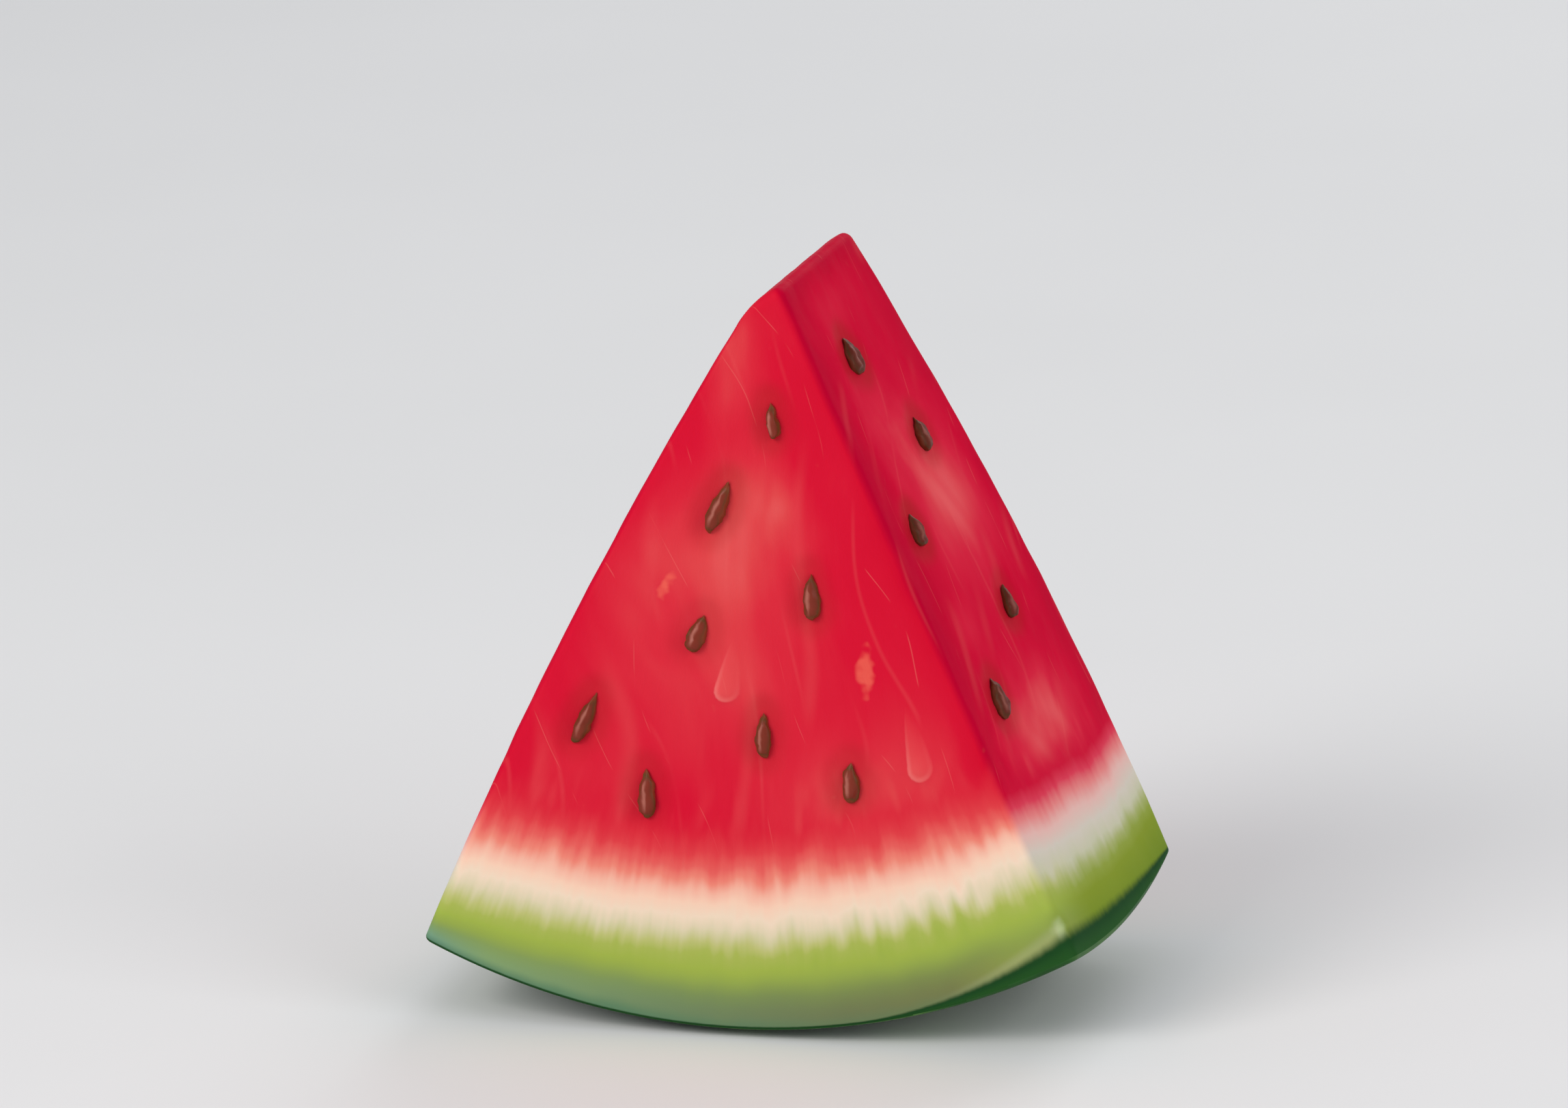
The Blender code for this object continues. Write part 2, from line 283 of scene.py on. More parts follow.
places = np.concatenate(ring_places + [wedge_points([0.5], [0.5], [0.0]), [[0.0, 0.0, 0.0]]])
places[:, :2] *= TRIMMED_TO
shares = np.concatenate(ring_of_shares + [[[0.5, 0.5]], [[0.5, 0.5]]])
downs = np.concatenate(ring_downs + [[0.0], [1.0]])
ring_size = len(edge)
count = len(ring_places)
start = (np.arange(count - 1) * ring_size)[:, None]
side = np.arange(ring_size)[None, :]
after = (side + 1) % ring_size
upper = start + side
quads = np.stack([upper, upper + ring_size, start + after + ring_size, start + after], axis=-1)
quads = quads.reshape(-1, 4).tolist()
tip_point = count * ring_size
base_point = tip_point + 1
last_ring = (count - 1) * ring_size
fans = [(tip_point, k, (k + 1) % ring_size) for k in range(ring_size)]
fans += [(base_point, last_ring + (k + 1) % ring_size, last_ring + k) for k in range(ring_size)]
wedge_mesh = bpy.data.meshes.new("cut_melon")
wedge_mesh.from_pydata(places.tolist(), [], quads + fans)
wedge_mesh.shade_smooth()

# What the finish follows: how deep a point lies under the skin, counted in rind layers (0 skin,
# 1 green, 2 white, more in the flesh), the grain from tip to rind, which faces are the side
# cuts, and how much of the outside the skin covers.
WIDTH_AT_TIP = 0.07
THICKNESS_AT_TIP = 0.66
RIDGE_BLEND = 0.002
SKIN_EDGE_DEPTH = 0.0006
SKIN_CLIMBS_FROM = 0.66
SKIN_CLIMB = 0.0042
SKIN_SINKS_TO_BACK = 0.94
# (depth in the middle, then how much less at the left, at the right, at the back, and at the
# front left corner)
FLESH_STARTS = (0.0231, 0.0024, 0.0014, 0.0030, 0.0022)
GREEN_ENDS = (0.0128, 0.0030, 0.0010, 0.0018, 0.0028)
across, back = shares[:, 0], shares[:, 1]
width, thickness, length = level_size(1.0)
fibres_down = wedge_points(across, back, 1.0) - wedge_points(across, back, 0.0)
depth = (1.0 - downs) * np.linalg.norm(fibres_down, axis=-1)


def layer_depth(middle, less_left, less_right, less_back, less_at_corner):
    """How deep under the skin a layer of the rind ends: less so towards the wedge's ends."""
    leftward = 1.0 - across
    even = middle - less_left * leftward ** 2 - less_right * across ** 3 - less_back * back
    return even - less_at_corner * leftward ** 8 * (1.0 - back)


flesh_depth = layer_depth(*FLESH_STARTS)
green_depth = layer_depth(*GREEN_ENDS)
above_green = (depth - green_depth) / (flesh_depth - green_depth)
layer = np.where(depth < green_depth, depth / green_depth, 1.0 + above_green)
width_here = width * (WIDTH_AT_TIP + (1.0 - WIDTH_AT_TIP) * downs)
thickness_here = thickness * (THICKNESS_AT_TIP + (1.0 - THICKNESS_AT_TIP) * downs)
to_sides = np.minimum(across, 1.0 - across) * width_here
to_faces = np.minimum(back, 1.0 - back) * thickness_here
side_face = np.clip(0.5 + (to_faces - to_sides) / RIDGE_BLEND, 0.0, 1.0)
skin_rise = np.clip((across - SKIN_CLIMBS_FROM) / (1.0 - SKIN_CLIMBS_FROM), 0.0, 1.0) ** 1.5
skin_rise *= 1.0 - SKIN_SINKS_TO_BACK * back ** 2.5
skin_depth = SKIN_EDGE_DEPTH + SKIN_CLIMB * skin_rise
grain = np.column_stack([across * width, back * thickness, downs * length])

# Paler flesh lies in soft patches, which run through the slab from face to face.
# (place along the face, place down, reach along, reach down, strength)
PALE_ALONG_FRONT = [
    (0.47, 0.34, 0.17, 0.13, 0.85),
    (0.60, 0.28, 0.12, 0.05, 0.40),
    (0.20, 0.39, 0.15, 0.14, 0.50),
    (0.44, 0.52, 0.18, 0.10, 0.50),
    (0.68, 0.69, 0.15, 0.09, 0.50),
    (0.86, 0.70, 0.10, 0.10, 0.35),
    (0.32, 0.12, 0.16, 0.05, 0.40),
    (0.20, 0.68, 0.16, 0.07, 0.22),
    (0.76, 0.40, 0.10, 0.08, 0.14),
    (0.15, 0.05, 0.30, 0.05, 0.60),
]
PALE_ALONG_SIDE = [
    (0.58, 0.36, 0.22, 0.11, 1.00),
    (0.50, 0.70, 0.30, 0.07, 0.95),
    (0.30, 0.23, 0.17, 0.06, 0.45),
    (0.45, 0.07, 0.30, 0.05, 0.22),
    (0.28, 0.53, 0.10, 0.05, 0.35),
]


def patches(along, spots):
    """How pale the flesh is from these patches."""
    total = np.zeros(len(along))
    for place, down, reach, reach_down, strength in spots:
        far_along = ((along - place) / reach) ** 2
        total += strength * np.exp(-far_along - ((downs - down) / reach_down) ** 2)
    return total


def painted_edge_shade(from_edge, reach, shaded_by):
    """How much darker and more crimson the flesh is painted along one edge of a face: painted shade.
    """
    return shaded_by * np.exp(-(from_edge / reach) ** 2)


front_face = 1.0 - side_face
pale = patches(across, PALE_ALONG_FRONT) * front_face + patches(back, PALE_ALONG_SIDE) * side_face
# The side cut's ridge, back edge and tip, and the front's right edge are painted darker: painted
# shade.
pale -= side_face * (painted_edge_shade(back, 0.17, shaded_by=0.50) + painted_edge_shade(1.0 - back, 0.12, shaded_by=0.30))
pale -= side_face * painted_edge_shade(downs, 0.03, shaded_by=0.45)
pale -= front_face * painted_edge_shade(1.0 - across, 0.05, shaded_by=0.30)

# Two drops of juice cling to the front face, and two flecks of torn flesh catch the light there.
# (place across, place down, half width, length of a drop or half length of a fleck)
DROPS = [(0.458, 0.532, 0.0020, 0.0105), (0.855, 0.677, 0.0022, 0.0125)]
FLECKS = [(0.249, 0.401, 0.0013, 0.0024), (0.795, 0.530, 0.0019, 0.0038)]
DROP_LEAN = 0.10
FLECK_LEAN = 0.25
FLECK_CORE = 1.6
OFF_THE_DROPS = 3.0
on_front = np.where(back < 0.3, 1.0, 0.0) * front_face
drop_reach = np.full(len(downs), OFF_THE_DROPS)
drop_low = np.zeros(len(downs))
fleck = np.zeros(len(downs))
for place, down, half_width, drop_length in DROPS:
    below = (downs - down) * length
    beside = (across - place) * level_size(down)[0] + DROP_LEAN * below
    rising = np.clip(1.0 - np.maximum(-below, 0.0) / (drop_length - half_width), 0.02, 1.0)
    reach = np.hypot(beside / rising ** 0.5, np.maximum(below, 0.0)) / half_width
    nearer = (reach < drop_reach) & (on_front > 0.5)
    drop_reach = np.where(nearer, reach, drop_reach)
    low_left = np.clip(0.60 + (0.8 * below - 1.6 * beside) / drop_length, 0.0, 1.0)
    drop_low = np.where(nearer, low_left, drop_low)
for place, down, half_width, half_length in FLECKS:
    below = (downs - down) * length
    beside = ((across - place) * level_size(down)[0] + FLECK_LEAN * below) / half_width
    away = np.hypot(beside, below / half_length)
    fleck = np.maximum(fleck, on_front * np.clip(FLECK_CORE - away, 0.0, FLECK_CORE))

# The knife chipped the rind where the front and right cuts meet the skin.
NICK_DOWN = 0.952
NICK_REACH = 0.0034
NICK_CORNER = 0.2
from_nick = np.hypot(to_faces + to_sides, (downs - NICK_DOWN) * length)
nick = np.clip(1.0 - from_nick / NICK_REACH, 0.0, 1.0)
at_corner = (across > 1.0 - NICK_CORNER) & (back < NICK_CORNER)
nick = np.where(at_corner, nick, 0.0)
for name, values in (
    ("layer", layer), ("side_face", side_face), ("skin_cover", depth / skin_depth), ("pale", pale),
    ("drop_reach", drop_reach), ("drop_low", drop_low), ("fleck", fleck), ("nick", nick),
):
    wedge_mesh.attributes.new(name, "FLOAT", "POINT").data.foreach_set("value", values)
grain_of_mesh = wedge_mesh.attributes.new("grain", "FLOAT_VECTOR", "POINT")
grain_of_mesh.data.foreach_set("vector", grain.ravel())
wedge = bpy.data.objects.new("cut_melon", wedge_mesh)
bpy.context.collection.objects.link(wedge)


# The seeds.
# Hard brown pips, flat and drawn out to a point at the end that fed them, which faces the tip.
# Each lies where the knife bared it, half sunk in the flesh and wet with juice.

# Seeds of the front and right cut faces.
# (place along the face, place down, lean in degrees, length, width)
FRONT_SEEDS = [
    (0.615, 0.171, -3, 0.0058, 0.0021),
    (0.375, 0.282, 14, 0.0092, 0.0028),
    (0.69, 0.415, 7, 0.0074, 0.0028),
    (0.37, 0.457, 14, 0.0066, 0.0031),
    (0.147, 0.605, 5, 0.0092, 0.0026),
    (0.54, 0.594, 2, 0.0074, 0.0026),
    (0.313, 0.688, -10, 0.0080, 0.0029),
    (0.708, 0.672, 9, 0.0064, 0.0030),
]
RIGHT_SEEDS = [
    (0.395, 0.138, 0, 0.0064, 0.0044),
    (0.633, 0.280, 8, 0.0057, 0.0037),
    (0.239, 0.382, 6, 0.0054, 0.0030),
    (0.650, 0.540, 14, 0.0056, 0.0030),
    (0.275, 0.637, 8, 0.0068, 0.0040),
]

# Seeds of the two cut faces behind, in rows down each face.
SEED_ROWS = [0.17, 0.31, 0.44, 0.57, 0.69]
SEED_SPACING = 0.027
SEED_STAGGER = 0.12
SEED_THICKNESS = 0.0022
SEED_SINK = 0.0003
SEED_DRAW = 11


def rows_of_seeds(size_across, draw):
    """Seeds in staggered rows down a cut face, each a little off its even place."""
    seeds = []
    for row, down in enumerate(SEED_ROWS):
        number = max(1, round(level_size(down)[size_across] / SEED_SPACING - 0.5 * (row % 2)))
        for index in range(number):
            stagger = SEED_STAGGER if row % 2 else -SEED_STAGGER
            even_place = (index + 0.5 + stagger) / number
            place = even_place + draw.uniform(-0.08, 0.08) / number
            seed_level = down + draw.uniform(-0.03, 0.03)
            lean = draw.uniform(-12.0, 14.0)
            seed_length = draw.uniform(0.0064, 0.0088)
            seeds.append((place, seed_level, lean, seed_length, draw.uniform(0.0031, 0.0044)))
    return seeds


FACE_SHARES = {
    "front": lambda place, down: (place, 0.0, down),
    "right": lambda place, down: (1.0, place, down),
    "back": lambda place, down: (1.0 - place, 1.0, down),
    "left": lambda place, down: (0.0, 1.0 - place, down),
}


def seat_on_face(face, place, down, lean):
    """The point on a cut face, and a turn that lays a seed there with its point to the tip."""
    a_little = 0.01
    steps = [(place, down), (place, down - a_little), (place + a_little, down)]
    middle, above, beside = [Vector(wedge_points(*FACE_SHARES[face](*step))) for step in steps]
    up = (above - middle).normalized()
    outward = (beside - middle).normalized().cross(up).normalized()
    right = up.cross(outward)
    turned_up = up * math.cos(lean) + right * math.sin(lean)
    turn = Matrix((outward.cross(turned_up), outward, turned_up)).transposed()
    return middle - outward * SEED_SINK, turn.to_euler()


draw = random.Random(SEED_DRAW)
seeds_of_face = {"front": FRONT_SEEDS, "right": RIGHT_SEEDS}
seeds_of_face["back"] = rows_of_seeds(0, draw)
seeds_of_face["left"] = rows_of_seeds(1, draw)
# How much of its own colour a coat keeps on each face; the rest is painted shade, darkest on the
# right cut.
TONE_OF_FACE = {"front": 1.0, "right": 0.62, "back": 0.90, "left": 0.80}
seats, turns, sizes, tones = [], [], [], []
for face, seeds in seeds_of_face.items():
    for place, down, lean, seed_length, seed_width in seeds:
        seat, turn = seat_on_face(face, place, down, math.radians(lean))
        seats.append(seat)
        turns += list(turn)
        sizes += [seed_width, SEED_THICKNESS, seed_length]
        tones.append(TONE_OF_FACE[face] * draw.uniform(0.92, 1.0))
seat_mesh = bpy.data.meshes.new("melon_seeds")
seat_mesh.from_pydata(seats, [], [])
seat_mesh.attributes.new("turn", "FLOAT_VECTOR", "POINT").data.foreach_set("vector", turns)
seat_mesh.attributes.new("size", "FLOAT_VECTOR", "POINT").data.foreach_set("vector", sizes)
seat_mesh.attributes.new("seed_tone", "FLOAT", "POINT").data.foreach_set("value", tones)
seed_seats = bpy.data.objects.new("melon_seeds", seat_mesh)
bpy.context.collection.objects.link(seed_seats)


def new_geometry_tree(name, **inputs):
    """An empty geometry tree that takes and gives a mesh, with these named inputs."""
    tree = bpy.data.node_groups.new(name, "GeometryNodeTree")
    tree.interface.new_socket("Geometry", in_out="OUTPUT", socket_type="NodeSocketGeometry")
    tree.interface.new_socket("Geometry", in_out="INPUT", socket_type="NodeSocketGeometry")
    for label, kind in inputs.items():
        tree.interface.new_socket(
            label.replace("_", " "), in_out="INPUT", socket_type="NodeSocket" + kind)
    return tree, tree.nodes.new("NodeGroupInput"), tree.nodes.new("NodeGroupOutput")


def worked_mesh(thing, tree, **values):
    """The plain mesh that a geometry tree makes of an object, with the tree's inputs set."""
    modifier = thing.modifiers.new(tree.name, "NODES")
    modifier.node_group = tree
    for item in tree.interface.items_tree:
        label = item.name.replace(" ", "_")
        if item.in_out == "INPUT" and label in values:
            modifier[item.identifier] = values[label]
    evaluated = thing.evaluated_get(bpy.context.evaluated_depsgraph_get())
    mesh = bpy.data.meshes.new_from_object(evaluated)
    thing.modifiers.clear()
    thing.data = mesh
    return mesh


def math_node(tree, operation, first, second=0.0, third=0.0):
    """One sum on numbers."""
    node = add(tree, "ShaderNodeMath", {"operation": operation}, i0=first, i1=second, i2=third)
    return node.outputs[0]


def times(tree, first, second):
    """Two values together."""
    return math_node(tree, "MULTIPLY", first, second)


def scaled(tree, value, by, plus):
    """A value times one number plus another."""
    return math_node(tree, "MULTIPLY_ADD", value, by, plus)


def eased(tree, value, low, high, first=0.0, second=1.0):
    """A soft step from one value to another."""
    node = add(tree, "ShaderNodeMapRange", {"interpolation_type": "SMOOTHSTEP"},
               Value=value, From_Min=low, From_Max=high, To_Min=first, To_Max=second)
    return node.outputs["Result"]


def fading(tree, value, low, high):
    """A soft step from 1 down to 0."""
    return eased(tree, value, low, high, 1.0, 0.0)


def mixed(tree, factor, first, second):
    """One colour over another."""
    node = add(tree, "ShaderNodeMix", {"data_type": "RGBA"})
    for place, value in ((0, factor), (6, first), (7, second)):
        if isinstance(value, bpy.types.NodeSocket):
            tree.links.new(value, node.inputs[place])
        else:
            node.inputs[place].default_value = value
    return node.outputs[2]


def ramp(tree, factor, stops):
    """Colours along a value, from (value, colour) pairs."""
    low, high = min(stops)[0], max(stops)[0]
    share = add(tree, "ShaderNodeMapRange", Value=factor, From_Min=low, From_Max=high)
    node = add(tree, "ShaderNodeValToRGB", Fac=share.outputs["Result"])
    spots = node.color_ramp.elements
    spots.remove(spots[1])
    for number, (value, tint) in enumerate(sorted(stops)):
        spot = spots[0] if number == 0 else spots.new((value - low) / (high - low))
        spot.position = (value - low) / (high - low)
        spot.color = tint
    return node.outputs["Color"]


def vector_math(tree, operation, first, second):
    """One sum on places or directions."""
    node = add(tree, "ShaderNodeVectorMath", {"operation": operation}, i0=first, i1=second)
    return node.outputs[0]


def lengthened(tree, direction, factor):
    """A direction made longer or shorter."""
    node = add(tree, "ShaderNodeVectorMath", {"operation": "SCALE"}, i0=direction, Scale=factor)
    return node.outputs[0]


def noise(tree, place, scale, detail=0.0):
    """Cloudy values from 0 to 1, mostly near the middle."""
    return add(tree, "ShaderNodeTexNoise", Vector=place, Scale=scale, Detail=detail).outputs["Fac"]


def attribute_field(tree, name, kind="FLOAT"):
    """A stored value of the mesh, read in a geometry tree."""
    node = add(tree, "GeometryNodeInputNamedAttribute", {"data_type": kind}, Name=name)
    return node.outputs["Attribute"]


# The coat is brown, with a painted highlight along one side of its crest, and olive where a film
# of flesh still clings to its rim.
seed_material, tree, surface = new_material("seed_coat")
crest, sideways, rise, tone = [
    add(tree, "ShaderNodeAttribute", {"attribute_name": name}).outputs["Fac"]
    for name in ("seed_crest", "seed_side", "seed_rise", "seed_tone")]
where = add(tree, "ShaderNodeTexCoord").outputs["Object"]
mottle = noise(tree, where, scale=650.0, detail=4.0)
blotch = noise(tree, where, scale=300.0, detail=1.0)
height = scaled(tree, mottle, by=0.16, plus=crest)
height = scaled(tree, blotch, by=0.60, plus=height)
coat = ramp(tree, height, [
    (0.62, colour(84, 66, 30)), (0.86, colour(98, 62, 32)), (1.04, colour(112, 52, 32)),
    (1.22, colour(122, 48, 34)), (1.42, colour(128, 50, 38))])
# A paler streak on the same side of every coat's crest is a painted highlight.
off_highlight = math_node(tree, "ABSOLUTE", math_node(tree, "SUBTRACT", sideways, 0.25))
painted_highlight = times(tree, fading(tree, off_highlight, 0.0, 0.36), eased(tree, crest, 0.30, 0.75))
painted_highlight = times(tree, painted_highlight, eased(tree, rise, 0.08, 0.32))
painted_highlight = times(tree, painted_highlight, fading(tree, rise, 0.58, 0.90))
coat = mixed(tree, times(tree, painted_highlight, 0.62), coat, colour(190, 118, 104))
film = scaled(tree, blotch, by=1.3, plus=crest)
coat = mixed(tree, eased(tree, film, 0.88, 1.20, 0.75, 0.0), coat, colour(136, 52, 34))
# Each coat is darkened by its face's painted shade, and a little at random.
coat = mixed(tree, tone, colour(38, 14, 12), coat)
tree.links.new(coat, surface.inputs["Base Color"])
bumps = add(tree, "ShaderNodeBump", Height=mottle, Strength=0.3, Distance=0.0001)
tree.links.new(bumps.outputs["Normal"], surface.inputs["Normal"])
surface.inputs["Roughness"].default_value = 0.34
surface.inputs["Specular IOR Level"].default_value = 0.1

FULLEST_SPREAD = 0.4020
NEVER_ZERO = 0.0001
tree, given, result = new_geometry_tree(
    "seeds_in_flesh", Sides="Int", Rings="Int", Drawn_out="Float", Wrinkle="Float", Coat="Material")
# A ball is drawn out to a point at the end that faces the tip, and laid in each seat.
ball = add(tree, "GeometryNodeMeshUVSphere",
           Segments=given.outputs["Sides"], Rings=given.outputs["Rings"], Radius=1.0)
ball_place = add(tree, "GeometryNodeInputPosition")
parts = add(tree, "ShaderNodeSeparateXYZ", Vector=ball_place.outputs[0])
up_share = scaled(tree, parts.outputs["Z"], by=0.5, plus=0.5)
up_share = math_node(tree, "MINIMUM", math_node(tree, "MAXIMUM", up_share, 0.0), 1.0)
rest_share = math_node(tree, "SUBTRACT", 1.0, up_share)
taper = math_node(tree, "POWER", rest_share, given.outputs["Drawn out"])
spread = times(tree, math_node(tree, "SQRT", up_share), taper)
round_part = math_node(tree, "SUBTRACT", 1.0, times(tree, parts.outputs["Z"], parts.outputs["Z"]))
round_part = math_node(tree, "SQRT", math_node(tree, "MAXIMUM", round_part, NEVER_ZERO))
narrowing = math_node(tree, "DIVIDE", spread, round_part)
narrowing = math_node(tree, "DIVIDE", narrowing, FULLEST_SPREAD * 2.0)
pip_place = add(tree, "ShaderNodeCombineXYZ",
                X=times(tree, parts.outputs["X"], narrowing),
                Y=times(tree, parts.outputs["Y"], narrowing),
                Z=times(tree, parts.outputs["Z"], 0.5))
round_share = math_node(tree, "DIVIDE", math_node(tree, "ABSOLUTE", parts.outputs["Y"]), round_part)
end_share = math_node(tree, "MINIMUM", times(tree, up_share, 6.0), times(tree, rest_share, 3.4))
marked = ball
for name, value in (
    ("seed_crest", math_node(tree, "MINIMUM", round_share, end_share)),
    ("seed_side", math_node(tree, "DIVIDE", parts.outputs["X"], round_part)),
    ("seed_rise", up_share),
):
    marked = add(tree, "GeometryNodeStoreNamedAttribute", {"data_type": "FLOAT", "domain": "POINT"},
                 Geometry=marked.outputs[0], Name=name, Value=value)
pip = add(tree, "GeometryNodeSetPosition",
          Geometry=marked.outputs[0], Position=pip_place.outputs[0])
turned = add(tree, "FunctionNodeEulerToRotation",
             Euler=attribute_field(tree, "turn", "FLOAT_VECTOR"))
laid = add(tree, "GeometryNodeInstanceOnPoints", Points=given.outputs["Geometry"],
           Instance=pip.outputs[0], Rotation=turned.outputs[0],
           Scale=attribute_field(tree, "size", "FLOAT_VECTOR"))
real = add(tree, "GeometryNodeRealizeInstances", Geometry=laid.outputs[0])
crumple = add(tree, "ShaderNodeTexNoise", Scale=700.0, Detail=1.0,
              Vector=add(tree, "GeometryNodeInputPosition").outputs[0])
crumple = vector_math(tree, "SUBTRACT", crumple.outputs["Color"], (0.5, 0.5, 0.5))
crumple = lengthened(tree, crumple, given.outputs["Wrinkle"])
uneven = add(tree, "GeometryNodeSetPosition", Geometry=real.outputs[0], Offset=crumple)
smooth = add(tree, "GeometryNodeSetShadeSmooth", Geometry=uneven.outputs[0])
dressed = add(tree, "GeometryNodeSetMaterial",
              Geometry=smooth.outputs[0], Material=given.outputs["Coat"])
tree.links.new(dressed.outputs[0], result.inputs[0])
worked_mesh(seed_seats, tree, Sides=28, Rings=20, Drawn_out=0.9, Wrinkle=0.0010, Coat=seed_material)
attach(seed_seats, "root")


# The cut surface.
# The knife leaves the flesh slightly open along its fibres, with a shallow wet hollow round each
# seed; the firm rind and the skin stay smooth. Flesh, rind and skin are one piece of fruit.
tree, given, result = new_geometry_tree(
    "open_flesh", Seeds="Object", Hollow_reach="Float", Hollow_depth="Float", Fibre_width="Float",
    Fibre_depth="Float", Drop_height="Float", Nick_depth="Float", Cut="Material", Skin="Material")
SKIN_PROPER = 0.2
FIBRE_STRETCH = (1.0, 1.0, 0.3)
open_flesh = tree
pips = add(tree, "GeometryNodeObjectInfo", Object=given.outputs["Seeds"])
near = add(tree, "GeometryNodeProximity", {"target_element": "FACES"}, i0=pips.outputs["Geometry"])
hollow = add(tree, "ShaderNodeMapRange", {"interpolation_type": "SMOOTHERSTEP"},
             Value=near.outputs["Distance"], From_Min=0.0, From_Max=given.outputs["Hollow reach"],
             To_Min=1.0, To_Max=0.0)
marked = add(tree, "GeometryNodeStoreNamedAttribute", {"data_type": "FLOAT", "domain": "POINT"},
             Geometry=given.outputs["Geometry"], Name="hollow", Value=hollow.outputs["Result"])
place = add(tree, "GeometryNodeInputPosition").outputs[0]
along = vector_math(tree, "MULTIPLY", place, FIBRE_STRETCH)
fibre_scale = math_node(tree, "DIVIDE", 1.0, given.outputs["Fibre width"])
fibres = noise(tree, along, scale=fibre_scale, detail=1.0)
in_flesh = add(tree, "ShaderNodeMapRange", Value=attribute_field(tree, "layer"),
               From_Min=1.0, From_Max=2.3, To_Min=0.0, To_Max=1.0)
opened = times(tree, times(tree, fibres, given.outputs["Fibre depth"]), in_flesh.outputs["Result"])
sunk = math_node(tree, "POWER", hollow.outputs["Result"], 2.0)
sunk = times(tree, sunk, given.outputs["Hollow depth"])
reach = attribute_field(tree, "drop_reach")
domed = math_node(tree, "SUBTRACT", 1.0, times(tree, reach, reach))
domed = math_node(tree, "SQRT", math_node(tree, "MAXIMUM", domed, 0.0))
domed = times(tree, domed, attribute_field(tree, "drop_low"))
risen = times(tree, domed, given.outputs["Drop height"])
chipped = times(tree, attribute_field(tree, "nick"), given.outputs["Nick depth"])
inward = math_node(tree, "SUBTRACT", math_node(tree, "ADD", opened, sunk), risen)
inward = math_node(tree, "ADD", inward, chipped)
outward = add(tree, "GeometryNodeInputNormal").outputs[0]
inward = lengthened(tree, outward, times(tree, inward, -1.0))
moved = add(tree, "GeometryNodeSetPosition", Geometry=marked.outputs[0], Offset=inward)
real = add(tree, "GeometryNodeRealizeInstances", Geometry=moved.outputs[0])
all_cut = add(tree, "GeometryNodeSetMaterial",
              Geometry=real.outputs[0], Material=given.outputs["Cut"])
skinned = add(tree, "FunctionNodeCompare", {"data_type": "FLOAT", "operation": "LESS_THAN"},
              i0=attribute_field(tree, "skin_cover"), i1=SKIN_PROPER)
dressed = add(tree, "GeometryNodeSetMaterial", Geometry=all_cut.outputs[0],
              Selection=skinned.outputs[0], Material=given.outputs["Skin"])
tree.links.new(dressed.outputs[0], result.inputs[0])


def fine_fibres():
    """Streaks along the grain of the fruit, from noise drawn out along it."""
    tree = bpy.data.node_groups.new("fine_fibres", "ShaderNodeTree")
    for label, kind in (("Grain", "Vector"), ("Width", "Float"), ("Stretch", "Float")):
        tree.interface.new_socket(label, in_out="INPUT", socket_type="NodeSocket" + kind)
    tree.interface.new_socket("Streaks", in_out="OUTPUT", socket_type="NodeSocketFloat")
    given = tree.nodes.new("NodeGroupInput")
    squeeze = add(tree, "ShaderNodeCombineXYZ", X=1.0, Y=1.0,
                  Z=math_node(tree, "DIVIDE", 1.0, given.outputs["Stretch"]))
    along = vector_math(tree, "MULTIPLY", given.outputs["Grain"], squeeze.outputs[0])
    streak_scale = math_node(tree, "DIVIDE", 1.0, given.outputs["Width"])
    drawn = noise(tree, along, scale=streak_scale, detail=1.0)
    result = tree.nodes.new("NodeGroupOutput")
    tree.links.new(drawn, result.inputs["Streaks"])
    return tree


FIBRES = fine_fibres()


def streaks(tree, grain, width, stretch):
    """Streaks of this width, this many times as long as wide, from about -1 to 1."""
    node = add(tree, "ShaderNodeGroup", {"node_tree": FIBRES},
               Grain=grain, Width=width, Stretch=stretch)
    return scaled(tree, node.outputs["Streaks"], by=3.0, plus=-1.5)


def wandering_lines(tree, place, spacing, lean, bends, wander, half_width, pieces):
    """Lines down the fruit that bend but never close, broken into pieces: 1 on a line, 0 off it."""
    parts = add(tree, "ShaderNodeSeparateXYZ", Vector=place)
    beside = math_node(tree, "ADD", parts.outputs["X"], parts.outputs["Y"])
    beside = scaled(tree, parts.outputs["Z"], by=lean, plus=beside)
    bend = noise(tree, place, scale=bends)
    count = scaled(tree, bend, by=wander, plus=math_node(tree, "DIVIDE", beside, spacing))
    line = fading(tree, math_node(tree, "PINGPONG", count, 0.5), 0.0, half_width / spacing)
    drawn_out = vector_math(tree, "MULTIPLY", place, (1.0, 1.0, 0.35))
    there = noise(tree, drawn_out, scale=1.0 / pieces)
    return times(tree, line, eased(tree, there, 0.50, 0.68))


cut_material, tree, surface = new_material("cut_fruit")
MARKS = (
    "layer", "side_face", "hollow", "skin_cover", "pale", "drop_reach", "drop_low", "fleck", "nick",
)
given = {}
for name in MARKS:
    given[name] = add(tree, "ShaderNodeAttribute", {"attribute_name": name}).outputs["Fac"]
grain = add(tree, "ShaderNodeAttribute", {"attribute_name": "grain"}).outputs["Vector"]

